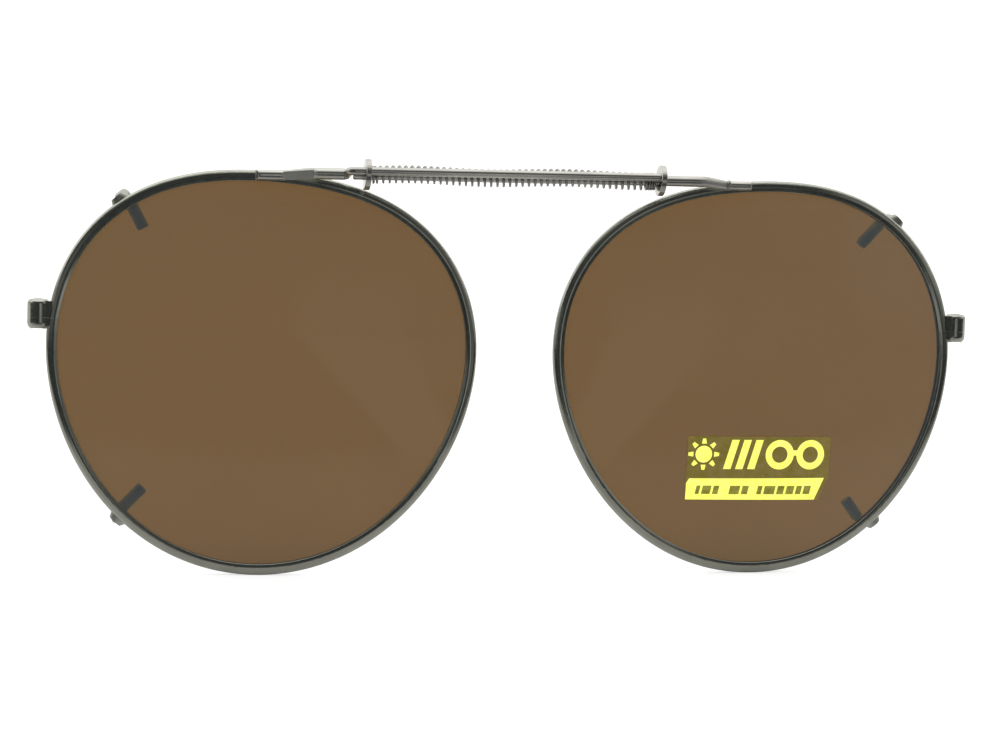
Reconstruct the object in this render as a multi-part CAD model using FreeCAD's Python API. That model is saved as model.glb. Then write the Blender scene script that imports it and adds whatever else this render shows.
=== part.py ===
# Round clip-on sun lenses joined by a spring bridge, as worn over a pair of spectacles.
#
# Two rimmed lenses hang from a telescopic bridge. The left half carries a thin front rod that
# ends in the right disc, the right half carries a thicker rear rod that ends in the left disc,
# and each disc slides on the other half's rod. A coil spring round the rear rod pushes the two
# discs apart, so the halves close again after they are pulled apart. Two sleeved wire hooks on
# each rim reach behind the spectacles.
#
# Millimetres. +X is to the right of someone looking at the front, +Y goes back towards the
# spectacles and +Z is up. The origin is midway between the lens centres, in the rims' mean
# plane. "Left" and "right" are as seen from the front.
import FreeCAD
import Part
import math
import os

V = FreeCAD.Vector
UP = V(0, 0, 1)
BACK = V(0, 1, 0)
ACROSS = V(1, 0, 0)

# ---- driving dimensions: lenses and rims ----
LENS_SPACING = 61.04          # from lens centre to lens centre
MEAN_RADIUS = 25.09           # of a rim's outer outline
# The outline is a circle with a few waves round it: (waves, cosine part, sine part).
OUTLINE_WAVES = ((2, 0.65, 0.08), (3, -0.17, 0.79), (4, -0.20, -0.05))
BASE_RADIUS = 132.0           # of the sphere that the lens and the rim follow
WRAP_DEG = 3.4                # each lens turns back this much at the temple side
HALF_TILT_DEG = 0.5           # both halves sit turned this much clockwise on the bridge
LENS_THICK = 0.9
LENS_INSET = 0.98             # from the rim's outer outline to the lens edge
RIM_DEPTH = 1.6               # front to back
RIM_BAND = 1.38               # outer outline to the front lip
RIM_FLAT_END = 0.98           # the front face slopes back from here to the lip
RIM_LIP_BACK = 0.20           # by this much
RIM_REAR_BAND = 1.16          # and to the rear lip, which is shorter to let the lens in
RIM_OUTER_ROUND = 0.50        # radius of the rim's outer edges
RIM_SLOPE_ROUND = 0.60        # radius where the slope starts
RIM_LIP_ROUND = 0.06          # radius of the front lip's edge
RIM_REAR_ROUND = 0.20
GROOVE_DEEP = 0.85            # from the outer outline to the groove's floor
GROOVE_MOUTH = 1.04
GROOVE_FLOOR = 0.97
SPLIT_Z = 5.33                # height at which the rim is split for closing
SPLIT_GAP = 0.03

# ---- driving dimensions: closing blocks ----
BLOCK_OUT = 27.8              # outermost X from the lens centre
BLOCK_BOTTOM = 3.84
BLOCK_TOP = 7.53
BARREL_ACROSS = 1.32          # half the barrel's size outwards from the rim
BARREL_DEEP = 1.15            # half its size front to back
BARREL_TOP_EDGE = 0.50
BARREL_FOOT_EDGE = 0.90
NECK_DEEP = 0.86              # half the depth of the neck that joins the barrel to the rim
NECK_LOWER = 0.55             # the neck starts this much above the barrel's foot
NECK_SHORTER = 0.22           # and ends this much below its top
NECK_REACH = 1.6              # how far the uncut neck reaches in from the barrel's axis
BLOCK_BITE = 0.25             # how far the block laps over the rim's outer edge
SCREW_R = 0.60
SCREW_HEAD_R = 0.82
SCREW_HEAD_TALL = 0.75
SCREW_HEAD_ROUND = 0.12
SCREW_SLOT = 0.26
SCREW_SUNK = 0.20             # the head below the block's bottom face
SCREW_SHORT = 0.05            # the tip below the block's top face
SCREW_CHAMFER = 0.1
SCREW_THREAD_GAP = 0.01
SCREW_FREE_GAP = 0.05

# ---- driving dimensions: hooks and their sleeves ----
HOOK_R = 0.52
HOOK_STAND_OFF = 0.45         # from the rim's outer outline to the hook's back leg
HOOK_BEND = 0.72
HOOK_DEPTH = 3.6              # the inward leg's distance behind the rims' plane
HOOK_ROOT_Y = 0.20
HOOK_ROOT_IN = 0.5            # the wire's hidden start, inside the rim's outline
BRAZE_BASE = (1.35, 0.60, -0.3)    # half length, half depth and height of the braze's foot
BRAZE_TOP = (0.82, 0.55, 0.70)     # and of its top, measured from the rim's outer outline
SLEEVE_R = 0.73
SLEEVE_LONG = 3.75            # where the inward leg has room for it
SLEEVE_CAP = 0.20             # closed end past the wire
SLEEVE_EDGE = 0.22
SLEEVE_FROM_BEND = 0.1
# The hooks are bent by hand, so each has its own angle round the rim, swing of its back leg
# along the rim, lean of its inward leg off the radius, and reach inside the rim's outline.
HOOKS = {("left", "upper"): (48.6, 1.00, -13.2, 4.27),
         ("left", "lower"): (-48.0, 0.29, -1.4, 4.16),
         ("right", "upper"): (46.4, 0.38, -0.6, 4.26),
         ("right", "lower"): (-48.6, -0.56, 3.9, 3.07)}

# ---- driving dimensions: bridge ----
REAR_Y = -2.30                # axis of the rear rod and of the left arm
REAR_Z = 23.28
REAR_R = 0.65
FRONT_Y = -3.99               # axis of the front rod
FRONT_Z = 23.69
FRONT_R = 0.50
LEFT_DISC_X = -18.55
RIGHT_DISC_X = 17.35
DISC_Y = -3.08
DISC_Z = 23.30
DISC_R = 1.87
DISC_THICK = 0.68
DISC_EDGE = 0.09
RIGHT_DISC_LEAN_DEG = 4.5     # both discs are riveted a little out of square
LEFT_DISC_LEAN_DEG = 3.0
SLIDE_GAP = 0.06              # radial clearance of a rod in the disc that slides on it
TAIL_X = -20.18               # end of the rear rod, past the left disc
JOG_X = -20.80                # where the front rod turns back to meet the left arm
JOG_BEND = 0.62
JOG_END_Y = -2.10
RIVET_PROUD = 0.06
ARM_R = 0.70
ARM_END_X = -20.95
ARM_END_ROUND = 0.30
LEFT_PADDLE_X = (-24.9, -28.4)     # where the left arm starts and stops flattening
RIGHT_PADDLE_X = (23.1, 26.2)
TAIL_ROUND = 0.20
LEFT_FOOT = (-31.65, 22.98, 1.24)  # outer end, height above the origin, width
RIGHT_FOOT = (29.25, 22.88, 1.12)
PADDLE_Y = -1.72              # axis of the flattened end
PADDLE_DEEP = 0.40            # half the flattened thickness
PADDLE_NARROW = 0.92          # height of the flattened end as a share of the foot's
PADDLE_SWELL = 0.01           # the blend's middle stands this much over the straight taper
PADDLE_OVERLAP = 0.25         # of the foot and the blend
FLAT_FACING = (-0.22, -0.95, -0.20)   # the hammered flat on the left arm faces this way
FLAT_AT = (-26.6, -2.34, 23.1)
FOOT_FRONT_Y = -1.92
FOOT_BACK_Y = -0.70
FOOT_ROUND = 0.52

# ---- driving dimensions: spring and label ----
SPRING_WIRE_R = 0.14
SPRING_MEAN_R = 0.96
SPRING_TURNS = 46
SPRING_END_GAP = 0.03
LABEL_THICK = 0.08
LABEL_LEFT = -8.9             # from the right lens centre
LABEL_RIGHT = 9.6
LABEL_TOP = -7.9
LABEL_STEP = -13.1            # the right end slants in below this height
LABEL_BOTTOM = -15.85
LABEL_SLANT = 1.2

# ---- other working values ----
OUTLINE_POINTS = 72
LARGE = 40.0                  # longer than anything that a cutting tool has to pass through
SHELL_CENTRE_Y = math.sqrt(BASE_RADIUS ** 2 - MEAN_RADIUS ** 2)


# ---- the lens shape ----

def outline_radius(angle, inset=0.0):
    """Distance from the lens centre to the rim's outline, angle 0 at the temple side."""
    waves = sum(c * math.cos(n * angle) + s * math.sin(n * angle) for n, c, s in OUTLINE_WAVES)
    return MEAN_RADIUS + waves - inset


def shell_y(radius, sphere=BASE_RADIUS):
    """Depth of a sphere about the lens's centre of curvature, at a distance from the axis."""
    return SHELL_CENTRE_Y - math.sqrt(sphere ** 2 - radius ** 2)


def outline_point(angle, inset=0.0):
    radius = outline_radius(angle, inset)
    return V(radius * math.cos(angle), shell_y(radius), radius * math.sin(angle))


def outline_prism(inset, half_depth=LARGE / 2):
    """The outline, moved in by inset and drawn out along Y, as a solid cutting tool."""
    step = 2 * math.pi / OUTLINE_POINTS
    points = []
    for i in range(OUTLINE_POINTS):
        radius = outline_radius(i * step, inset)
        points.append(V(radius * math.cos(i * step), -half_depth, radius * math.sin(i * step)))
    curve = Part.BSplineCurve()
    curve.interpolate(Points=points, PeriodicFlag=True)
    return Part.Face(Part.Wire([curve.toShape()])).extrude(BACK * half_depth * 2)


def shell_layer(inner_offset, outer_offset):
    """The space between two spheres about the lens's centre of curvature."""
    centre = V(0, SHELL_CENTRE_Y, 0)
    outer = Part.makeSphere(BASE_RADIUS + outer_offset, centre)
    return outer.cut(Part.makeSphere(BASE_RADIUS + inner_offset, centre))


def make_lens():
    return shell_layer(-LENS_THICK / 2, LENS_THICK / 2).common(outline_prism(LENS_INSET))


# ---- the rim ----

def rim_section():
    """Corners of the grooved section as (outward, backward, rounding), front half first."""
    half = RIM_DEPTH / 2
    return ((0, -half, RIM_OUTER_ROUND), (-RIM_FLAT_END, -half, RIM_SLOPE_ROUND),
            (-RIM_BAND, -half + RIM_LIP_BACK, RIM_LIP_ROUND),
            (-RIM_BAND, -GROOVE_MOUTH / 2, 0), (-GROOVE_DEEP, -GROOVE_FLOOR / 2, 0),
            (-GROOVE_DEEP, GROOVE_FLOOR / 2, 0), (-RIM_REAR_BAND, GROOVE_MOUTH / 2, 0),
            (-RIM_REAR_BAND, half, RIM_REAR_ROUND), (0, half, RIM_OUTER_ROUND))


def rounded_polygon(corners):
    """A closed wire through corners (point, rounding), each rounding a tangent arc."""
    edges = []
    count = len(corners)
    entries = []
    for i, (point, rounding) in enumerate(corners):
        before = (corners[i - 1][0] - point).normalize()
        after = (corners[(i + 1) % count][0] - point).normalize()
        if rounding == 0:
            entries.append((point, point, None))
            continue
        half_angle = before.getAngle(after) / 2
        setback = rounding / math.tan(half_angle)
        middle = (before + after).normalize()
        arc_centre = point + middle * (rounding / math.sin(half_angle))
        entries.append((point + before * setback, point + after * setback,
                        arc_centre - middle * rounding))
    for i, (start, end, through) in enumerate(entries):
        if through is not None:
            edges.append(Part.Arc(start, through, end).toShape())
        edges.append(Part.makeLine(end, entries[(i + 1) % count][0]))
    return Part.Wire(edges)


def make_rim():
    """A grooved strip bent round the lens, open by a small gap at the closing blocks."""
    split_angle = math.asin(SPLIT_Z / outline_radius(math.asin(SPLIT_Z / MEAN_RADIUS)))
    half_gap = SPLIT_GAP / 2 / MEAN_RADIUS
    start = split_angle + half_gap
    sweep = 2 * math.pi - 2 * half_gap
    points = [outline_point(start + sweep * i / OUTLINE_POINTS) for i in range(OUTLINE_POINTS + 1)]
    curve = Part.BSplineCurve()
    curve.interpolate(Points=points)
    tangent = V(*curve.tangent(curve.FirstParameter)[0]).normalize()
    outward = BACK.cross(tangent).normalize()
    tilt = math.asin(MEAN_RADIUS / BASE_RADIUS)
    along_shell = outward * math.cos(tilt) + BACK * math.sin(tilt)
    through_shell = BACK * math.cos(tilt) - outward * math.sin(tilt)
    corners = [(points[0] + along_shell * out + through_shell * back, rounding)
               for out, back, rounding in rim_section()]
    pipe = Part.BRepOffsetAPI.MakePipeShell(Part.Wire([curve.toShape()]))
    pipe.setBiNormalMode(BACK)
    pipe.add(rounded_polygon(corners))
    pipe.build()
    pipe.makeSolid()
    return Part.Solid(pipe.shape())


# ---- the closing blocks and their screw ----

def barrel_centre():
    x = BLOCK_OUT - BARREL_ACROSS
    return V(x, shell_y(outline_radius(0)), 0)


def make_block_pair(rim, rim_core):
    """A barrel on a neck, cut to the rim and sawn in two at the split."""
    centre = barrel_centre()
    foot = centre + UP * BLOCK_BOTTOM
    plan = Part.Ellipse(foot + ACROSS * BARREL_ACROSS, foot + BACK * BARREL_DEEP, foot)
    barrel = Part.Face(Part.Wire([plan.toShape()])).extrude(UP * (BLOCK_TOP - BLOCK_BOTTOM))
    for height, edge in ((BLOCK_TOP, BARREL_TOP_EDGE), (BLOCK_BOTTOM, BARREL_FOOT_EDGE)):
        rounds = [e for e in barrel.Edges if e.Closed and abs(e.CenterOfMass.z - height) < 1e-3]
        barrel = barrel.makeFillet(edge, rounds)
    neck_tall = BLOCK_TOP - BLOCK_BOTTOM - NECK_LOWER - NECK_SHORTER
    neck = Part.makeBox(NECK_REACH, NECK_DEEP * 2, neck_tall,
                        foot + UP * NECK_LOWER - ACROSS * NECK_REACH - BACK * NECK_DEEP)
    block = barrel.fuse(neck).cut(rim_core).cut(rim)
    split = SPLIT_Z - SPLIT_GAP / 2
    lower_half = Part.makeBox(LARGE, LARGE, LARGE, V(0, -LARGE / 2, split - LARGE))
    upper_half = Part.makeBox(LARGE, LARGE, LARGE, V(0, -LARGE / 2, split + SPLIT_GAP))
    thread = Part.makeCylinder(SCREW_R + SCREW_THREAD_GAP, LARGE, centre - UP * LARGE / 2)
    free_hole = Part.makeCylinder(SCREW_R + SCREW_FREE_GAP, LARGE, centre - UP * LARGE / 2)
    head_seat = Part.makeCylinder(SCREW_HEAD_R + SCREW_FREE_GAP, LARGE,
                                  centre + UP * (BLOCK_BOTTOM + SCREW_HEAD_TALL - LARGE))
    upper = block.common(upper_half).cut(thread)
    lower = block.common(lower_half).cut(free_hole).cut(head_seat)
    return largest_solid(upper), largest_solid(lower)


def make_block_screw():
    """A slotted screw, put in from below."""
    foot = barrel_centre() + UP * (BLOCK_BOTTOM + SCREW_SUNK)
    head = Part.makeCylinder(SCREW_HEAD_R, SCREW_HEAD_TALL - SCREW_SUNK, foot)
    head = head.makeFillet(SCREW_HEAD_ROUND, [head.Edges[2]])
    shank = Part.makeCylinder(SCREW_R, BLOCK_TOP - foot.z - SCREW_SHORT, foot)
    shank = shank.makeChamfer(SCREW_CHAMFER, [shank.Edges[0]])
    slot = Part.makeBox(LARGE, SCREW_SLOT, SCREW_SLOT,
                        foot - ACROSS * LARGE / 2 - BACK * SCREW_SLOT / 2)
    return head.fuse(shank).removeSplitter().cut(slot)


# ---- the hooks and their sleeves ----

def bent_wire(points, bend, radius):
    """A round wire along straight runs joined by arcs of one bend radius."""
    edges = []
    begin = points[0]
    for i in range(1, len(points) - 1):
        before = (points[i - 1] - points[i]).normalize()
        after = (points[i + 1] - points[i]).normalize()
        half_angle = before.getAngle(after) / 2
        setback = bend / math.tan(half_angle)
        middle = (before + after).normalize()
        arc_centre = points[i] + middle * (bend / math.sin(half_angle))
        start = points[i] + before * setback
        end = points[i] + after * setback
        if (start - begin).Length > 1e-6:
            edges.append(Part.makeLine(begin, start))
        edges.append(Part.Arc(start, arc_centre - middle * bend, end).toShape())
        begin = end
    edges.append(Part.makeLine(begin, points[-1]))
    profile = Part.Wire([Part.makeCircle(radius, points[0], points[1] - points[0])])
    return Part.Wire(edges).makePipeShell([profile], True, False)


def hook_frame(side, level):
    """Outward direction, root, corner points, tip and inward direction of a hook."""
    angle_deg, swing, lean_deg, reach = HOOKS[(side, level)]
    angle = math.radians(angle_deg)
    radius = outline_radius(angle)
    out = V(math.cos(angle), 0, math.sin(angle))
    along = V(-math.sin(angle), 0, math.cos(angle))
    root = out * (radius - HOOK_ROOT_IN) + BACK * HOOK_ROOT_Y
    elbow = out * (radius + HOOK_STAND_OFF) + BACK * HOOK_ROOT_Y
    corner = out * (radius + HOOK_STAND_OFF) + BACK * HOOK_DEPTH + along * swing
    inward = FreeCAD.Rotation(BACK, lean_deg).multVec(out * -1)
    leg = HOOK_STAND_OFF + reach
    return out, root, elbow, corner, corner + inward * leg, inward


def braze_section(root, out, half_long, half_deep, height):
    """An ellipse across a hook's root, height above the rim's outer outline."""
    along = out.cross(BACK)
    centre = root + out * (HOOK_ROOT_IN + height)
    ellipse = Part.Ellipse(centre + along * half_long, centre + BACK * half_deep, centre)
    return Part.Wire([ellipse.toShape()])


def make_hook(side, level, rim, rim_core):
    """A bent wire in a small mound of braze on the rim's outside."""
    out, root, elbow, corner, tip, _ = hook_frame(side, level)
    wire = bent_wire([root, elbow, corner, tip], HOOK_BEND, HOOK_R)
    braze = Part.makeLoft([braze_section(root, out, *BRAZE_BASE),
                           braze_section(root, out, *BRAZE_TOP)], True, False)
    return largest_solid(wire.fuse(braze).cut(rim_core).cut(rim))


def make_sleeve(side, level):
    """A soft tube with a closed, rounded end, pushed over the hook's inward leg."""
    _, _, _, corner, tip, inward = hook_frame(side, level)
    room = (tip - corner).Length - HOOK_BEND - SLEEVE_FROM_BEND
    bore = min(SLEEVE_LONG - SLEEVE_CAP, room)
    start = tip - inward * bore
    sleeve = Part.makeCylinder(SLEEVE_R, bore + SLEEVE_CAP, start, inward)
    ends = [e for e in sleeve.Edges if e.Closed and isinstance(e.Curve, Part.Circle)]
    near = min(ends, key=lambda e: (e.CenterOfMass - start).Length)
    far = max(ends, key=lambda e: (e.CenterOfMass - start).Length)
    sleeve = sleeve.makeFillet(SLEEVE_EDGE / 2, [near])
    far = min(sleeve.Edges, key=lambda e: (e.CenterOfMass - far.CenterOfMass).Length)
    sleeve = sleeve.makeFillet(SLEEVE_EDGE, [far])
    return sleeve.cut(Part.makeCylinder(HOOK_R, bore, start, inward))


# ---- the bridge ----

def rod_along_x(x_from, x_to, y, z, radius):
    return Part.makeCylinder(radius, x_to - x_from, V(x_from, y, z), ACROSS)


def oval(x, y, z, half_tall, half_deep):
    """An upright elliptical wire across X."""
    if half_tall > half_deep:
        ellipse = Part.Ellipse(V(x, y, z) + UP * half_tall, V(x, y + half_deep, z), V(x, y, z))
    else:
        ellipse = Part.Circle(V(x, y, z), ACROSS, half_tall)
    return Part.Wire([ellipse.toShape()])


def make_paddle(paddle_x, radius, foot, hammered=None):
    """The arm's end: round wire pressed flat and brazed along the front of the rim."""
    begin, finish = paddle_x
    foot_x, foot_z, foot_wide = foot
    tall = foot_wide / 2
    middle = (begin + finish) / 2
    blend = Part.makeLoft([oval(begin, REAR_Y, REAR_Z, radius, radius),
                           oval(middle, (REAR_Y + PADDLE_Y) / 2, (REAR_Z + foot_z) / 2,
                                (radius + tall) / 2 + PADDLE_SWELL, (radius + PADDLE_DEEP) / 2),
                           oval(finish, PADDLE_Y, foot_z, tall * PADDLE_NARROW, PADDLE_DEEP)],
                          True, False)
    if hammered:
        blend = blend.cut(hammered)
    hidden_x = finish - math.copysign(PADDLE_OVERLAP, foot_x)
    bar = Part.makeBox(abs(foot_x - hidden_x), FOOT_BACK_Y - FOOT_FRONT_Y, foot_wide,
                       V(min(hidden_x, foot_x), FOOT_FRONT_Y, foot_z - tall))
    front_edges = [e for e in bar.Edges if abs(e.BoundBox.YMax - FOOT_FRONT_Y) < 1e-6
                   and not abs(e.CenterOfMass.x - hidden_x) < 1e-6]
    bar = bar.makeFillet(FOOT_ROUND, front_edges)
    return blend.fuse(bar)


def beyond(point, facing):
    """A block that takes away all that is past a plane, for a hammered flat."""
    block = Part.makeBox(LARGE, LARGE, LARGE, V(-LARGE / 2, -LARGE / 2, 0))
    block.Placement = FreeCAD.Placement(V(*point), FreeCAD.Rotation(UP, V(*facing)))
    return block


def make_left_arm(rim, rod):
    shaft = rod_along_x(LEFT_PADDLE_X[0], ARM_END_X, REAR_Y, REAR_Z, ARM_R)
    tip_edge = [e for e in shaft.Edges if abs(e.BoundBox.XMin - ARM_END_X) < 1e-6]
    shaft = shaft.makeFillet(ARM_END_ROUND, tip_edge)
    paddle = make_paddle(LEFT_PADDLE_X, ARM_R, LEFT_FOOT, beyond(FLAT_AT, FLAT_FACING))
    return largest_solid(shaft.fuse(paddle).cut(rim).cut(rod))


def make_right_rod(rim):
    """The rear rod and the right arm are one wire, flattened at the rim."""
    shaft = rod_along_x(TAIL_X, RIGHT_PADDLE_X[0], REAR_Y, REAR_Z, REAR_R)
    tip_edge = [e for e in shaft.Edges if abs(e.BoundBox.XMax - TAIL_X) < 1e-6]
    shaft = shaft.makeFillet(TAIL_ROUND, tip_edge)
    arm = shaft.fuse(make_paddle(RIGHT_PADDLE_X, REAR_R, RIGHT_FOOT))
    return largest_solid(arm.cut(rim))


def make_left_rod():
    """The front rod: it starts against the left arm, turns, and runs to the right disc."""
    end_x = RIGHT_DISC_X + DISC_THICK / 2 + RIVET_PROUD
    slope = (FRONT_Z - REAR_Z) / (FRONT_Y - REAR_Y)
    start = V(JOG_X, JOG_END_Y, REAR_Z + slope * (JOG_END_Y - REAR_Y))
    return bent_wire([start, V(JOG_X, FRONT_Y, FRONT_Z), V(end_x, FRONT_Y, FRONT_Z)],
                     JOG_BEND, FRONT_R)


def make_disc(x, lean_deg, fixed_rod, sliding_rod):
    centre = V(x, DISC_Y, DISC_Z)
    normal = FreeCAD.Rotation(BACK, lean_deg).multVec(ACROSS)
    disc = Part.makeCylinder(DISC_R, DISC_THICK, centre - normal * DISC_THICK / 2, normal)
    rims = [e for e in disc.Edges if e.Closed and isinstance(e.Curve, Part.Circle)]
    disc = disc.makeFillet(DISC_EDGE, rims)
    return disc.cut(fixed_rod).cut(sliding_rod)


def make_spring():
    """A helix round the rear rod, between the two discs."""
    left_lean = DISC_R * math.sin(math.radians(LEFT_DISC_LEAN_DEG))
    right_lean = DISC_R * math.sin(math.radians(RIGHT_DISC_LEAN_DEG))
    start = LEFT_DISC_X + DISC_THICK / 2 + left_lean + SPRING_END_GAP + SPRING_WIRE_R
    finish = RIGHT_DISC_X - DISC_THICK / 2 - right_lean - SPRING_END_GAP - SPRING_WIRE_R
    pitch = (finish - start) / SPRING_TURNS
    helix = Part.makeHelix(pitch, finish - start, SPRING_MEAN_R)
    begin = V(SPRING_MEAN_R, 0, 0)
    heading = V(0, 2 * math.pi * SPRING_MEAN_R, pitch)
    profile = Part.Wire([Part.makeCircle(SPRING_WIRE_R, begin, heading)])
    coil = Part.Wire(helix.Edges).makePipeShell([profile], True, True)
    coil.Placement = FreeCAD.Placement(V(start, REAR_Y, REAR_Z), FreeCAD.Rotation(BACK, 90))
    return coil


def make_label():
    """A thin film on the front of the right lens, one end cut at a slant."""
    corners = [V(LABEL_LEFT, -LARGE / 2, LABEL_TOP), V(LABEL_RIGHT, -LARGE / 2, LABEL_TOP),
               V(LABEL_RIGHT, -LARGE / 2, LABEL_STEP),
               V(LABEL_RIGHT - LABEL_SLANT, -LARGE / 2, LABEL_BOTTOM),
               V(LABEL_LEFT, -LARGE / 2, LABEL_BOTTOM)]
    prism = Part.Face(Part.makePolygon(corners + corners[:1])).extrude(BACK * LARGE / 2)
    return shell_layer(LENS_THICK / 2, LENS_THICK / 2 + LABEL_THICK).common(prism)


# ---- putting the halves together ----

def largest_solid(shape):
    return max(shape.Solids, key=lambda solid: solid.Volume)


def placed(shape, side):
    """Move a piece made about the right lens centre to its side of the bridge."""
    moved = shape.copy()
    moved.rotate(V(0, 0, 0), BACK, HALF_TILT_DEG if side == "right" else -HALF_TILT_DEG)
    moved.rotate(V(0, 0, 0), UP, WRAP_DEG)
    moved.translate(ACROSS * LENS_SPACING / 2)
    return moved if side == "right" else moved.mirror(V(0, 0, 0), ACROSS)


def make_rim_set(side):
    """The lens, rim, closing blocks, screw, hooks and sleeves of one side, in place."""
    rim = make_rim()
    rim_core = outline_prism(BLOCK_BITE, RIM_DEPTH)
    upper, lower = make_block_pair(rim, rim_core)
    pieces = {"lens": make_lens(), "rim": rim, "block_upper": upper, "block_lower": lower,
              "block_screw": make_block_screw()}
    for level in ("upper", "lower"):
        pieces[level + "_hook"] = make_hook(side, level, rim, rim_core)
        pieces[level + "_sleeve"] = make_sleeve(side, level)
    return {side + "_" + name: placed(shape, side) for name, shape in pieces.items()}


def make_parts():
    parts = make_rim_set("left")
    parts.update(make_rim_set("right"))
    left_rod = make_left_rod()
    right_rod = make_right_rod(parts["right_rim"])
    parts["left_rod"] = left_rod
    parts["right_rod"] = right_rod
    parts["left_arm"] = make_left_arm(parts["left_rim"], left_rod)
    rear_hole = rod_along_x(-LARGE, LARGE, REAR_Y, REAR_Z, REAR_R + SLIDE_GAP)
    front_hole = rod_along_x(-LARGE, LARGE, FRONT_Y, FRONT_Z, FRONT_R + SLIDE_GAP)
    parts["left_disc"] = make_disc(LEFT_DISC_X, LEFT_DISC_LEAN_DEG, right_rod, front_hole)
    parts["right_disc"] = make_disc(RIGHT_DISC_X, RIGHT_DISC_LEAN_DEG, left_rod, rear_hole)
    parts["bridge_spring"] = make_spring()
    parts["lens_label"] = placed(make_label(), "right")
    return parts


os.makedirs("parts", exist_ok=True)
for node, shape in sorted(make_parts().items()):
    shape.exportStep("parts/" + node + ".step")
    box = shape.BoundBox
    print("%-20s solids %d valid %s volume %8.3f  x %7.2f..%7.2f  y %6.2f..%6.2f  z %6.2f..%6.2f"
          % (node, len(shape.Solids), shape.isValid(), shape.Volume,
             box.XMin, box.XMax, box.YMin, box.YMax, box.ZMin, box.ZMax))
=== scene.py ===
import math

import bmesh
import bpy
from mathutils import Matrix, Vector


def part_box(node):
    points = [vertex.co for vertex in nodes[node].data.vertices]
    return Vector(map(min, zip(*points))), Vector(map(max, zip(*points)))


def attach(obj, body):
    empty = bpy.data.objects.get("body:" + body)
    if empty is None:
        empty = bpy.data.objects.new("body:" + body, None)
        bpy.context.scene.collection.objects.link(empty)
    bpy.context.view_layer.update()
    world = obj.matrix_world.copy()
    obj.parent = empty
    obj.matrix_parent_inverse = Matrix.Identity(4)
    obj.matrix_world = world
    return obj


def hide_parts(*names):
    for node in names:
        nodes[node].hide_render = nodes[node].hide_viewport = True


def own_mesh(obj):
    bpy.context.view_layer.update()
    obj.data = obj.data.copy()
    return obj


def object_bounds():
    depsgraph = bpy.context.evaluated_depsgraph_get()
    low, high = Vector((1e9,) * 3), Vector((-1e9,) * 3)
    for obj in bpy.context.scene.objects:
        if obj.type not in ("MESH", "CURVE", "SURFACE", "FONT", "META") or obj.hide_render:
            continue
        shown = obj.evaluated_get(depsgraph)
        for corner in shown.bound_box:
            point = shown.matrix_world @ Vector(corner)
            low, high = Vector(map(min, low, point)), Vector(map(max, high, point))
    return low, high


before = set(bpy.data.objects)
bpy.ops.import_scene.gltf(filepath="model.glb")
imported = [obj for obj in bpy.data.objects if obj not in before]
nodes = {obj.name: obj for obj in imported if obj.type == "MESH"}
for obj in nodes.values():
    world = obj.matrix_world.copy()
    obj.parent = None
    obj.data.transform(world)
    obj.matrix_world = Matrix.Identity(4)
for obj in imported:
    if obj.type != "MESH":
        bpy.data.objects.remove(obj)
cad_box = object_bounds()
MM = 0.001


# ---- small helpers -------------------------------------------------------------------------

def new_material(name):
    """An empty node material and its Principled shader."""
    material = bpy.data.materials.new(name)
    material.use_nodes = True
    shader = material.node_tree.nodes["Principled BSDF"]
    return material, material.node_tree, shader


def paint_node(name, material):
    for slot in nodes[name].material_slots:
        slot.material = material


def ramp(tree, value, fade):
    """0 at the first of the two values of fade and 1 at the second, with a soft change."""
    ranged = tree.nodes.new("ShaderNodeMapRange")
    ranged.interpolation_type = "SMOOTHSTEP"
    ranged.inputs["From Min"].default_value = fade[0]
    ranged.inputs["From Max"].default_value = fade[1]
    tree.links.new(value, ranged.inputs["Value"])
    return ranged.outputs["Result"]


def axes(tree, coordinates):
    """The X, Y and Z outputs of one kind of texture coordinate."""
    place = tree.nodes.new("ShaderNodeTexCoord")
    split = tree.nodes.new("ShaderNodeSeparateXYZ")
    tree.links.new(place.outputs[coordinates], split.inputs["Vector"])
    return [split.outputs[axis] for axis in "XYZ"]


def product(tree, one, other):
    both = tree.nodes.new("ShaderNodeMath")
    both.operation = "MULTIPLY"
    tree.links.new(one, both.inputs[0])
    tree.links.new(other, both.inputs[1])
    return both.outputs["Value"]


def linear(red, green, blue):
    """A scene-linear colour from the 0 to 255 values of a display."""
    channels = [c / 255 for c in (red, green, blue)]
    return [c / 12.92 if c <= 0.04045 else ((c + 0.055) / 1.055) ** 2.4 for c in channels] + [1.0]


def noise(tree, scale, detail=3.0, stretch=(1, 1, 1), roughness=0.5):
    """A noise texture in the piece's own metres; stretch makes it run along an axis."""
    place = tree.nodes.new("ShaderNodeTexCoord")
    mapping = tree.nodes.new("ShaderNodeMapping")
    mapping.inputs["Scale"].default_value = stretch
    texture = tree.nodes.new("ShaderNodeTexNoise")
    texture.inputs["Scale"].default_value = scale
    texture.inputs["Detail"].default_value = detail
    texture.inputs["Roughness"].default_value = roughness
    tree.links.new(place.outputs["Object"], mapping.inputs["Vector"])
    tree.links.new(mapping.outputs["Vector"], texture.inputs["Vector"])
    return texture.outputs["Fac"]


def spread(tree, value, low, high, start=0.35, stop=0.65):
    """Map the middle of a noise to the range low to high."""
    ranged = tree.nodes.new("ShaderNodeMapRange")
    ranged.inputs["From Min"].default_value = start
    ranged.inputs["From Max"].default_value = stop
    ranged.inputs["To Min"].default_value = low
    ranged.inputs["To Max"].default_value = high
    tree.links.new(value, ranged.inputs["Value"])
    return ranged.outputs["Result"]


def set_or_link(tree, socket, value):
    """Give a shader input a constant, or join it to another node's output."""
    if isinstance(value, bpy.types.NodeSocket):
        tree.links.new(value, socket)
    else:
        socket.default_value = value


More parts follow.
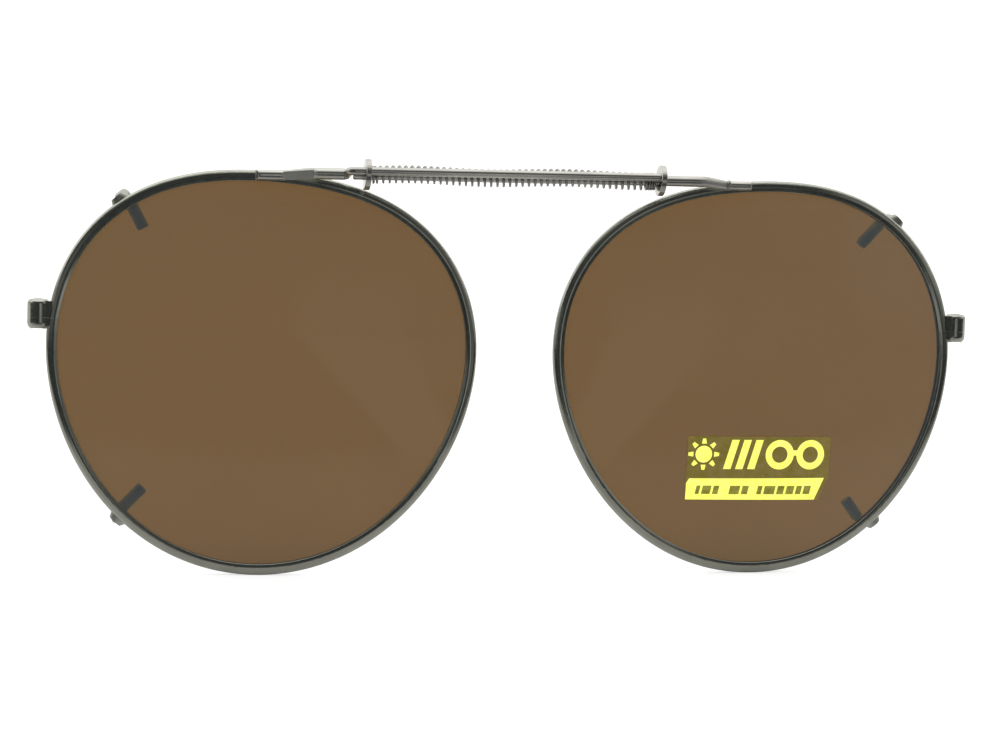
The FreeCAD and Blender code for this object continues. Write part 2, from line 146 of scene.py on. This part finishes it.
def blend_colours(tree, factor, first, second):
    mix = tree.nodes.new("ShaderNodeMix")
    mix.data_type = "RGBA"
    tree.links.new(factor, mix.inputs["Factor"])
    set_or_link(tree, mix.inputs["A"], first)
    set_or_link(tree, mix.inputs["B"], second)
    return mix.outputs["Result"]


def add_bump(tree, shader, height, distance):
    bump = tree.nodes.new("ShaderNodeBump")
    bump.inputs["Distance"].default_value = distance
    bump.inputs["Strength"].default_value = 1.0
    tree.links.new(height, bump.inputs["Height"])
    tree.links.new(bump.outputs["Normal"], shader.inputs["Normal"])


CLOUD_SCALE = 260             # per metre, as all scales of noise here
GRAIN_SCALE = 2600
PLATED_GRAIN = 0.0004 * MM    # height of the polishing marks
PRESSED_POLISH = (0.42, 0.54)


def metal(name, light, dark, polish, grain_height=PLATED_GRAIN, pressed=None):
    """A plated metal: cloudy tone between two colours, uneven polish and a fine grain.

    polish is the smoothest and roughest finish. pressed is (start, full, full, end) along X, in
    mm, of a stretch that the press has left matt."""
    material, tree, shader = new_material(name)
    shader.inputs["Metallic"].default_value = 1.0
    cloud = noise(tree, CLOUD_SCALE, detail=4)
    tree.links.new(blend_colours(tree, spread(tree, cloud, 0, 1), light, dark),
                   shader.inputs["Base Color"])
    grain = noise(tree, GRAIN_SCALE, detail=5, roughness=0.6)
    finish = spread(tree, grain, *polish)
    if pressed:
        start, full_from, full_to, end = [x * MM for x in pressed]
        along = axes(tree, "Object")[0]
        mix = tree.nodes.new("ShaderNodeMix")
        tree.links.new(product(tree, ramp(tree, along, (start, full_from)),
                               ramp(tree, along, (end, full_to))), mix.inputs["Factor"])
        tree.links.new(finish, mix.inputs["A"])
        tree.links.new(spread(tree, grain, *PRESSED_POLISH), mix.inputs["B"])
        finish = mix.outputs["Result"]
    tree.links.new(finish, shader.inputs["Roughness"])
    add_bump(tree, shader, grain, grain_height)
    return material


# ---- camera and studio ---------------------------------------------------------------------

YAW, PITCH, ROLL = (math.radians(a) for a in (10.31, -4.45, 1.28))
CAMERA_DISTANCE = 328.0 * MM
CAMERA_TARGET = Vector((-1.414, 0, -0.738)) * MM
CAMERA_LENS = 96.9            # mm, on a sensor of the width below
SENSOR_WIDTH = 36
CLIP_NEAR, CLIP_FAR = 0.01, 20


def add_camera():
    """The photograph's camera, turned by yaw, pitch and roll about its target."""
    forward = Vector((math.sin(YAW) * math.cos(PITCH), math.cos(YAW) * math.cos(PITCH),
                      math.sin(PITCH)))
    level_right = Vector((math.cos(YAW), -math.sin(YAW), 0))
    level_up = level_right.cross(forward)
    right = level_right * math.cos(ROLL) + level_up * math.sin(ROLL)
    up = level_up * math.cos(ROLL) - level_right * math.sin(ROLL)
    data = bpy.data.cameras.new("camera")
    data.lens = CAMERA_LENS
    data.sensor_width = SENSOR_WIDTH
    data.clip_start = CLIP_NEAR
    data.clip_end = CLIP_FAR
    camera = bpy.data.objects.new("camera", data)
    turn = Matrix((right, up, -forward)).transposed().to_4x4()
    camera.matrix_world = Matrix.Translation(CAMERA_TARGET - forward * CAMERA_DISTANCE) @ turn
    bpy.context.scene.collection.objects.link(camera)
    bpy.context.scene.camera = camera


def mirror_ray(tree):
    """1 for a ray that a shiny surface has thrown off, 0 for any other."""
    path = tree.nodes.new("ShaderNodeLightPath")
    return product(tree, path.outputs["Is Reflection Ray"], path.outputs["Is Glossy Ray"])


def side_slope(tree, x, y):
    """How far to the right a direction points, for each unit that it points forward."""
    ahead = tree.nodes.new("ShaderNodeMath")
    ahead.operation = "MULTIPLY"
    ahead.inputs[1].default_value = -1
    tree.links.new(y, ahead.inputs[0])
    slope = tree.nodes.new("ShaderNodeMath")
    slope.operation = "DIVIDE"
    tree.links.new(x, slope.inputs[0])
    tree.links.new(ahead.outputs["Value"], slope.inputs[1])
    return slope.outputs["Value"]


# The studio that shiny surfaces mirror: a white tent, dark towards the front, with grey cards.
# Each fade is (where it starts, where it is full), in side slope for the ones called SLOPE and
# otherwise in the direction's own X, Y or Z.
CARD_SLOPE = ((0.0, 0.10), (0.52, 0.43))
STRIP_SLOPE = ((0.02, 0.08), (0.33, 0.26))
RIGHT_WALL_SLOPE = (0.64, 0.76)
LEFT_WALL_SLOPE = (-0.38, -0.46)
FAR_LEFT_SLOPE = (-0.7, -1.8)
FRONT_Y = (-0.12, -0.50)
FRONT_Z = (0.92, 0.60)
GLOOM_Z = (0.36, 0.56)
CARD_Z = (0.32, 0.12)
STRIP_Z = (0.15, 0.05)
RIGHT_WALL_Z = ((0.0, 0.09), (0.42, 0.33))
LEFT_WALL_Z = (0.24, 0.16)
SIDES_Z = (0.35, 0.20)
LEFT_SIDE_X = (-0.70, -0.86)
RIGHT_SIDE_X = (0.80, 0.94)

OPEN_WHITE = (1.30, 1.30, 1.30, 1)       # the empty studio, as seen and as it lights
TENT_WHITE = (1.1, 1.1, 1.07, 1)
GLOOM = ((0.045, 0.05, 0.05, 1), (0.17, 0.175, 0.17, 1))    # level and higher up
CARD_GREY = (0.14, 0.14, 0.133, 1)
STRIP_GREY = (0.32, 0.32, 0.31, 1)
RIGHT_WALL_GREY = (0.29, 0.29, 0.28, 1)
RIGHT_SIDE_GREY = (0.40, 0.40, 0.39, 1)
LEFT_WALL_GREY = (0.15, 0.155, 0.15, 1)
LEFT_SIDE_GREY = (0.34, 0.34, 0.33, 1)


def band(tree, value, fades):
    """1 between two fades and 0 outside them."""
    return product(tree, ramp(tree, value, fades[0]), ramp(tree, value, fades[1]))


def add_world():
    """A white light tent. Its front, where the camera looks in, is dark in reflections."""
    world = bpy.data.worlds.new("studio")
    world.use_nodes = True
    tree = world.node_tree
    background = tree.nodes["Background"]
    background.inputs["Strength"].default_value = 1.0
    x, y, z = axes(tree, "Generated")
    slope = side_slope(tree, x, y)
    gloom = blend_colours(tree, ramp(tree, z, GLOOM_Z), *GLOOM)
    card = product(tree, band(tree, slope, CARD_SLOPE), ramp(tree, z, CARD_Z))
    gloom = blend_colours(tree, card, gloom, CARD_GREY)
    strip = product(tree, band(tree, slope, STRIP_SLOPE), ramp(tree, z, STRIP_Z))
    gloom = blend_colours(tree, strip, gloom, STRIP_GREY)
    right_wall = product(tree, ramp(tree, slope, RIGHT_WALL_SLOPE), band(tree, z, RIGHT_WALL_Z))
    gloom = blend_colours(tree, right_wall, gloom, RIGHT_WALL_GREY)
    left_wall = product(tree, ramp(tree, slope, LEFT_WALL_SLOPE), ramp(tree, z, LEFT_WALL_Z))
    far_left = blend_colours(tree, ramp(tree, slope, FAR_LEFT_SLOPE), LEFT_WALL_GREY,
                             LEFT_SIDE_GREY)
    gloom = blend_colours(tree, left_wall, gloom, far_left)
    front = product(tree, ramp(tree, y, FRONT_Y), ramp(tree, z, FRONT_Z))
    tent = blend_colours(tree, front, TENT_WHITE, gloom)
    for side_x, grey in ((LEFT_SIDE_X, LEFT_SIDE_GREY), (RIGHT_SIDE_X, RIGHT_SIDE_GREY)):
        side = product(tree, ramp(tree, z, SIDES_Z), ramp(tree, x, side_x))
        tent = blend_colours(tree, side, tent, grey)
    tree.links.new(blend_colours(tree, mirror_ray(tree), OPEN_WHITE, tent),
                   background.inputs["Color"])
    world.cycles.sampling_method = "NONE"
    bpy.context.scene.world = world


FLOOR_HALF = 3.0
FLOOR_WHITE = (0.56, 0.56, 0.56, 1)
FLOOR_GLOW = 0.55             # lifts the soft shadows under the rims to white
# The floor's tone in reflections, and the fades from one tone to the next, in metres along Y.
FLOOR_CLOSE = ((0.52, 0.51, 0.50, 1), (0.28, 0.28, 0.27, 1))
FLOOR_DARK = (0.024, 0.027, 0.027, 1)
CLOSE_FADE = (0.02, -0.045)
DARK_FADE = (-0.040, -0.075)
CARD_FADE = (-0.13, -0.24)


def add_floor():
    """A white sweep. In reflections it is grey near the object and dark further forward."""
    bottom = cad_box[0][2]
    mesh = bpy.data.meshes.new("floor")
    signs = ((-1, -1), (1, -1), (1, 1), (-1, 1))
    mesh.from_pydata([(x * FLOOR_HALF, y * FLOOR_HALF, bottom) for x, y in signs], [],
                     [(0, 1, 2, 3)])
    floor = bpy.data.objects.new("floor", mesh)
    bpy.context.scene.collection.objects.link(floor)
    material, tree, shader = new_material("floor")
    shader.inputs["Roughness"].default_value = 0.9
    shader.inputs["Specular IOR Level"].default_value = 0.0
    x, y, _ = axes(tree, "Object")
    slope = side_slope(tree, x, y)
    under_card = product(tree, band(tree, slope, CARD_SLOPE), ramp(tree, y, CARD_FADE))
    far = blend_colours(tree, under_card, FLOOR_DARK, CARD_GREY)
    far = blend_colours(tree, band(tree, slope, STRIP_SLOPE), far, STRIP_GREY)
    close = blend_colours(tree, ramp(tree, y, CLOSE_FADE), *FLOOR_CLOSE)
    mirrored = blend_colours(tree, ramp(tree, y, DARK_FADE), close, far)
    tree.links.new(blend_colours(tree, mirror_ray(tree), FLOOR_WHITE, mirrored),
                   shader.inputs["Base Color"])
    glow = blend_colours(tree, mirror_ray(tree), (1, 1, 1, 1), (0, 0, 0, 1))
    tree.links.new(glow, shader.inputs["Emission Color"])
    shader.inputs["Emission Strength"].default_value = FLOOR_GLOW
    mesh.materials.append(material)


SOFTBOX_SIZE = (0.9, 0.6)
SOFTBOX_POWER = 0.5
SOFTBOX_AT = (-0.15, 0.1, 0.8)


def add_softbox():
    data = bpy.data.lights.new("softbox", "AREA")
    data.shape = "RECTANGLE"
    data.size, data.size_y = SOFTBOX_SIZE
    data.energy = SOFTBOX_POWER
    lamp = bpy.data.objects.new("softbox", data)
    lamp.location = SOFTBOX_AT
    bpy.context.scene.collection.objects.link(lamp)


bpy.context.scene.view_settings.view_transform = "Standard"
add_camera()
add_world()
add_floor()
add_softbox()

# ---- materials -----------------------------------------------------------------------------

NICKEL = ((0.58, 0.57, 0.535, 1), (0.50, 0.49, 0.46, 1))
NICKEL_POLISH = (0.13, 0.21)

gunmetal = metal("gunmetal_plating", (0.50, 0.51, 0.45, 1), (0.43, 0.44, 0.39, 1), (0.12, 0.19))
nickel = metal("nickel_plating", *NICKEL, NICKEL_POLISH)
# Painted light: the left arm gets a lighter copy of the same nickel plating, so that it reads
# brighter than the other nickel parts.
left_arm_lightened_nickel = metal("left_arm_lightened_nickel", (0.64, 0.64, 0.60, 1), (0.56, 0.56, 0.52, 1),
                        NICKEL_POLISH, pressed=(-28.6, -28.3, -24.9, -24.2))
right_rod_nickel = metal("right_rod_nickel", *NICKEL, NICKEL_POLISH,
                         pressed=(21.9, 23.2, 26.0, 26.2))
brazed = metal("brazed_gunmetal", (0.52, 0.53, 0.48, 1), (0.40, 0.41, 0.37, 1), (0.28, 0.44),
               grain_height=0.010 * MM)
steel = metal("spring_steel", (0.42, 0.41, 0.39, 1), (0.33, 0.325, 0.31, 1), (0.16, 0.32))
turned = metal("turned_steel", (0.60, 0.59, 0.57, 1), (0.50, 0.49, 0.47, 1), (0.14, 0.30))

LENS_BROWN = ((0.1310, 0.0593, 0.0060, 1), (0.1345, 0.0613, 0.0066, 1))
LENS_IOR = 1.32
LENS_HAZE = 0.14
LENS_HAZE_TINT = (0.41, 0.78, 0.97, 1)
LENS_SPECKLE_SCALE = 90
LENS_SMEAR_SCALE = 1800


def lens_material():
    """Clear brown plastic with a faint bluish haze on its surface."""
    material, tree, shader = new_material("brown_lens")
    shader.inputs["Transmission Weight"].default_value = 1.0
    shader.inputs["IOR"].default_value = LENS_IOR
    speckle = noise(tree, LENS_SPECKLE_SCALE, detail=2)
    tree.links.new(blend_colours(tree, spread(tree, speckle, 0, 1), *LENS_BROWN),
                   shader.inputs["Base Color"])
    shader.inputs["Sheen Weight"].default_value = LENS_HAZE
    shader.inputs["Sheen Roughness"].default_value = 0.9
    shader.inputs["Sheen Tint"].default_value = LENS_HAZE_TINT
    smears = noise(tree, LENS_SMEAR_SCALE, detail=3, stretch=(1, 1, 0.2))
    tree.links.new(spread(tree, smears, 0.0, 0.03, start=0.5, stop=0.7),
                   shader.inputs["Roughness"])
    return material


RUBBER_BLUE = ((0.48, 0.60, 0.78, 1), (0.54, 0.65, 0.84, 1))
RUBBER_GRAIN_SCALE = 5000
RUBBER_GRAIN_HEIGHT = 0.006 * MM
RUBBER_GLOW_DEPTH = 1.0 * MM


def rubber_material():
    """Soft silicone tubing that lets light through."""
    material, tree, shader = new_material("sleeve_rubber")
    grain = noise(tree, RUBBER_GRAIN_SCALE, detail=3)
    tree.links.new(blend_colours(tree, spread(tree, grain, 0, 1), *RUBBER_BLUE),
                   shader.inputs["Base Color"])
    shader.inputs["Subsurface Weight"].default_value = 0.7
    shader.inputs["Subsurface Radius"].default_value = (0.7, 0.9, 1.0)
    shader.inputs["Subsurface Scale"].default_value = RUBBER_GLOW_DEPTH
    tree.links.new(spread(tree, grain, 0.45, 0.62), shader.inputs["Roughness"])
    add_bump(tree, shader, grain, RUBBER_GRAIN_HEIGHT)
    return material


brown = lens_material()
rubber = rubber_material()
for side in ("left", "right"):
    paint_node(side + "_lens", brown)
    for piece in ("rim", "block_upper", "block_lower"):
        paint_node(side + "_" + piece, gunmetal)
    paint_node(side + "_block_screw", turned)
    paint_node(side + "_disc", nickel)
    for level in ("upper", "lower"):
        paint_node(side + "_" + level + "_hook", brazed)
        paint_node(side + "_" + level + "_sleeve", rubber)
paint_node("left_rod", nickel)
paint_node("left_arm", left_arm_lightened_nickel)
paint_node("right_rod", right_rod_nickel)


def add_piece(name, bm, material, body, smooth=True):
    """Make an object of a bmesh, finished in one material, that rides on a body."""
    bmesh.ops.recalc_face_normals(bm, faces=bm.faces)
    for face in bm.faces:
        face.smooth = smooth
    mesh = bpy.data.meshes.new(name)
    bm.to_mesh(mesh)
    bm.free()
    mesh.materials.append(material)
    piece = bpy.data.objects.new(name, mesh)
    bpy.context.scene.collection.objects.link(piece)
    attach(piece, body)
    return piece


# ---- bridge spring -------------------------------------------------------------------------

SPRING_WIRE = 0.15 * MM       # radius of the wire
SPRING_MEAN = 0.96 * MM       # radius of the coil, to the wire's middle
ROD_AXIS_Y = -2.30 * MM
ROD_AXIS_Z = 23.28 * MM
OPEN_TURNS = 44.0
CLOSED_LEFT = 1.0
CLOSED_RIGHT = 3.0
CLOSED_PITCH = 2.06 * SPRING_WIRE
TURN_STEPS = 28               # steps in one turn of the coil
WIRE_STEPS = 10               # steps round the wire
SAG = 0.13 * MM               # the spring lies a little wavy on its rod
SAG_LENGTH = 18.3 * MM
SAG_CREST_X = -12.9 * MM


def coil_stations():
    """(angle, x) along the coil, close wound at both ends."""
    low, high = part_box("bridge_spring")
    start, stop = low.x + SPRING_WIRE, high.x - SPRING_WIRE
    turns = CLOSED_LEFT + OPEN_TURNS + CLOSED_RIGHT
    count = int(turns * TURN_STEPS)
    opening = []
    for i in range(count):
        turn = (i + 0.5) / TURN_STEPS
        past_left = max(0.0, turn - CLOSED_LEFT)
        before_right = max(0.0, turns - CLOSED_RIGHT - turn)
        opening.append(min(1.0, past_left, before_right))
    spare = (stop - start) - CLOSED_PITCH * turns
    stations = [(0.0, start)]
    for i, share in enumerate(opening):
        x = stations[-1][1] + CLOSED_PITCH / TURN_STEPS + spare * share / sum(opening)
        stations.append((2 * math.pi * (i + 1) / TURN_STEPS, x))
    return stations


def build_spring(material):
    """The coil as a tube, riding on the left half; it does not shorten when the bridge is pulled
    out.
    """
    bm = bmesh.new()
    along = Vector((1, 0, 0))
    rings = []
    for angle, x in coil_stations():
        sag = SAG * math.cos(2 * math.pi * (x - SAG_CREST_X) / SAG_LENGTH)
        radial = Vector((0, math.cos(angle), math.sin(angle)))
        centre = Vector((x, ROD_AXIS_Y, ROD_AXIS_Z + sag)) + radial * SPRING_MEAN
        wire = []
        for k in range(WIRE_STEPS):
            b = 2 * math.pi * k / WIRE_STEPS
            outward = radial * math.cos(b) + along * math.sin(b)
            wire.append(bm.verts.new(centre + outward * SPRING_WIRE))
        rings.append(wire)
    for one, other in zip(rings, rings[1:]):
        for k in range(WIRE_STEPS):
            n = (k + 1) % WIRE_STEPS
            bm.faces.new((one[k], one[n], other[n], other[k]))
    bm.faces.new(rings[0])
    bm.faces.new(rings[-1])
    spring = add_piece("coil_spring", bm, material, "left_half")
    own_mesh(spring)
    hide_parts("bridge_spring")


# ---- label ---------------------------------------------------------------------------------

LENS_CENTRE_X = 30.52 * MM
LENS_FRONT_R = 132.45 * MM    # sphere of the lens's front
LENS_CURVE_Y = 129.594 * MM   # its centre, behind the rims' plane
LENS_WRAP = math.radians(3.4)
LENS_ROLL = math.radians(0.5)
LENS_TURN = Matrix.Rotation(LENS_WRAP, 3, "Z") @ Matrix.Rotation(LENS_ROLL, 3, "Y")
FILM_BACK = 0.012 * MM
FILM_FRONT = 0.045 * MM
INK_FRONT = 0.070 * MM
MARKS_FRONT = 0.076 * MM
LAYER_GAP = 0.001 * MM
PRINT_GRID = 0.6 * MM         # how finely flat shapes are cut to follow the dome
WELD = 0.001 * MM
CUT = 0.0001 * MM


def on_lens(x, z, lift):
    """A point on the right lens's front, from its centre, raised by lift."""
    y = LENS_CURVE_Y - math.sqrt((LENS_FRONT_R + lift) ** 2 - x * x - z * z)
    return LENS_TURN @ Vector((x, y, z)) + Vector((LENS_CENTRE_X, 0, 0))


def lay_on_lens(name, outlines, back, front, material):
    """Thin flat shapes (outlines in mm, seen from the front) that follow the lens's dome."""
    bm = bmesh.new()
    for outline in outlines:
        bm.faces.new([bm.verts.new((x * MM, 0, z * MM)) for x, z in outline])
    bmesh.ops.remove_doubles(bm, verts=bm.verts, dist=WELD)
    spots = [v.co.copy() for v in bm.verts]
    for axis, normal in ((0, (1, 0, 0)), (2, (0, 0, 1))):
        low = min(p[axis] for p in spots)
        high = max(p[axis] for p in spots)
        for i in range(1, int((high - low) / PRINT_GRID) + 1):
            place = Vector(normal) * (low + i * PRINT_GRID)
            bmesh.ops.bisect_plane(bm, geom=bm.verts[:] + bm.edges[:] + bm.faces[:],
                                   plane_co=place, plane_no=normal, dist=CUT)
    grown = bmesh.ops.extrude_face_region(bm, geom=bm.faces[:], use_keep_orig=True)
    for vert in grown["geom"]:
        if isinstance(vert, bmesh.types.BMVert):
            vert.co.y = 1
    for vert in bm.verts:
        vert.co = on_lens(vert.co.x, vert.co.z, back if vert.co.y > 0.5 else front)
    return add_piece(name, bm, material, "right_half", smooth=False)


def slanted_bar(left, right, bottom, top, slant):
    return [(left, bottom), (right, bottom), (right + slant, top), (left + slant, top)]


def circle(centre_x, centre_z, radius, steps=40):
    angles = [2 * math.pi * i / steps for i in range(steps)]
    return [(centre_x + radius * math.cos(a), centre_z + radius * math.sin(a)) for a in angles]


def ring(centre_x, centre_z, inner, outer, steps=40):
    """A flat ring as a list of four-sided shapes."""
    one, other = circle(centre_x, centre_z, inner, steps), circle(centre_x, centre_z, outer, steps)
    return [[one[i - 1], other[i - 1], other[i], one[i]] for i in range(steps)]


RAY_START = 1.25              # these three are in units of the sun's core
RAY_HALF_WIDTH = 0.30
RAY_TIP = 0.6                 # width of a ray's tip against its foot


def sun(centre_x, centre_z, core, reach, rays):
    """A disc with tapered rays round it, as a list of shapes."""
    shapes = [circle(centre_x, centre_z, core)]
    middle = Vector((centre_x, centre_z))
    near, far = core * RAY_START, reach
    wide = core * RAY_HALF_WIDTH
    for i in range(rays):
        a = 2 * math.pi * i / rays
        along, across = Vector((math.cos(a), math.sin(a))), Vector((-math.sin(a), math.cos(a)))
        shapes.append([tuple(middle + along * near - across * wide),
                       tuple(middle + along * far - across * wide * RAY_TIP),
                       tuple(middle + along * far + across * wide * RAY_TIP),
                       tuple(middle + along * near + across * wide)])
    return shapes


FILM_COLOURS = (linear(118, 100, 44), linear(104, 94, 14))
INK_COLOURS = (linear(252, 254, 92), linear(248, 252, 118))
MARK_COLOURS = (linear(112, 108, 16), linear(140, 136, 40))
FILM_SCALE = 900              # of the patches
INK_SCALE = 1400
MARK_SCALE = 2200
FILM_RELIEF = 0.003 * MM
INK_RELIEF = 0.002 * MM
FILM_GLOSS_SCALE = 4000
FILM_FINISH = (0.25, 0.45)    # smoothest and roughest
INK_FINISH = (0.30, 0.50)


def patchy(name, scale, colours, relief):
    """A material in patches of two near colours; also its tree, shader and patches."""
    material, tree, shader = new_material(name)
    patches = noise(tree, scale, detail=4)
    tree.links.new(blend_colours(tree, spread(tree, patches, 0, 1), *colours),
                   shader.inputs["Base Color"])
    add_bump(tree, shader, patches, relief)
    return material, tree, shader, patches


def film_material():
    material, tree, shader, _ = patchy("label_film", FILM_SCALE, FILM_COLOURS, FILM_RELIEF)
    gloss = noise(tree, FILM_GLOSS_SCALE)
    tree.links.new(spread(tree, gloss, *FILM_FINISH), shader.inputs["Roughness"])
    return material


def ink_material(name, scale, colours):
    material, tree, shader, patches = patchy(name, scale, colours, INK_RELIEF)
    tree.links.new(spread(tree, patches, *INK_FINISH), shader.inputs["Roughness"])
    return material


# The label's layout, in mm from the lens's centre as seen from the front.
FILM_OUTLINE = [(-8.9, -15.85), (8.4, -15.85), (9.6, -13.1), (9.6, -7.9), (-8.9, -7.9)]
BAND_OUTLINE = [(-8.5, -13.15), (-8.85, -13.75), (-8.85, -15.8), (7.9, -15.8), (9.05, -13.05)]
ROW_LOW = -12.05
ROW_HIGH = -8.2
ROW_MIDDLE = (ROW_LOW + ROW_HIGH) / 2
SUN_X = -6.85
SUN_CORE = 1.05
SUN_REACH = 1.95
SUN_RAYS = 8
BARS_X = (-4.3, -2.75, -1.2)
BAR_WIDTH = 0.95
BAR_SLANT = 1.0
BAR_MARGIN = 0.1
EYES_X = (2.95, 7.0)
EYE_INNER = 1.02
EYE_OUTER = 1.85
NOSE_X = (4.75, 5.2)          # the pictogram's short bridge
NOSE_Z = (ROW_MIDDLE - 0.1, ROW_MIDDLE + 0.55)
MARK_Z = (-15.1, -14.05)
MARK_SLANT = 0.2
MARKS = ((-7.7, 0.5), (-6.9, 1.1), (-5.5, 0.7), (-3.4, 1.3), (-1.8, 0.8), (0.2, 0.6),
         (1.1, 1.4), (2.8, 0.9), (4.0, 1.0), (5.3, 0.7), (6.3, 0.9))    # left end and width


def build_label():
    """The film with a generic print: a sun, three bars, spectacles and a band of dashes."""
    film = film_material()
    ink = ink_material("label_ink", INK_SCALE, INK_COLOURS)
    dark = ink_material("label_marks", MARK_SCALE, MARK_COLOURS)
    sheet = lay_on_lens("label_film", [FILM_OUTLINE], FILM_BACK, FILM_FRONT, film)
    shapes = sun(SUN_X, ROW_MIDDLE, SUN_CORE, SUN_REACH, SUN_RAYS)
    for x in BARS_X:
        shapes.append(slanted_bar(x, x + BAR_WIDTH, ROW_LOW + BAR_MARGIN, ROW_HIGH - BAR_MARGIN,
                                  BAR_SLANT))
    for x in EYES_X:
        shapes += ring(x, ROW_MIDDLE, EYE_INNER, EYE_OUTER)
    shapes.append(slanted_bar(*NOSE_X, *NOSE_Z, 0))
    shapes.append(BAND_OUTLINE)
    lay_on_lens("label_print", shapes, FILM_FRONT + LAYER_GAP, INK_FRONT, ink)
    marks = [slanted_bar(left, left + wide, *MARK_Z, MARK_SLANT) for left, wide in MARKS]
    lay_on_lens("label_marks", marks, INK_FRONT + LAYER_GAP, MARKS_FRONT, dark)
    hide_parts("lens_label")


# ---- beads of braze ------------------------------------------------------------------------

# name: (centre, half size, body), in mm
BEADS = {
    "right_arm_bead": ((26.15, -1.95, 22.92), (0.24, 0.52, 0.62), "right_half"),
    "left_foot_bead": ((-31.62, -1.45, 22.98), (0.13, 0.42, 0.60), "left_half"),
    "left_elbow_bead": ((-20.98, -2.75, 23.24), (0.34, 0.62, 0.58), "left_half"),
}


BEAD_SWELL = 0.07             # uneven by these shares of its size
BEAD_RIPPLE = 0.03
BEAD_SQUARENESS = 3           # 2 is an ellipsoid, more is closer to a box


def braze_bead(name, centre, half, body, material):
    """A small uneven bead of braze; centre and half size in mm."""
    bm = bmesh.new()
    bmesh.ops.create_icosphere(bm, subdivisions=4, radius=1.0)
    for vert in bm.verts:
        d = vert.co.normalized()
        swell = 1 + BEAD_SWELL * math.sin(5 * d.x + 3 * d.z) * math.sin(4 * d.y - 2 * d.z) \
            + BEAD_RIPPLE * math.sin(11 * d.z + 6 * d.x)
        box_like = sum(abs(q) ** BEAD_SQUARENESS for q in d) ** (-1 / BEAD_SQUARENESS)
        vert.co = Vector([(c + h * q * swell * box_like) * MM for c, h, q in zip(centre, half, d)])
    return add_piece(name, bm, material, body)


def build_beads(material):
    for name, (centre, half, body) in BEADS.items():
        braze_bead(name, centre, half, body, material)


build_spring(steel)
build_label()
build_beads(metal("braze", (0.50, 0.51, 0.46, 1), (0.36, 0.37, 0.33, 1), (0.22, 0.42),
                  grain_height=0.004 * MM))
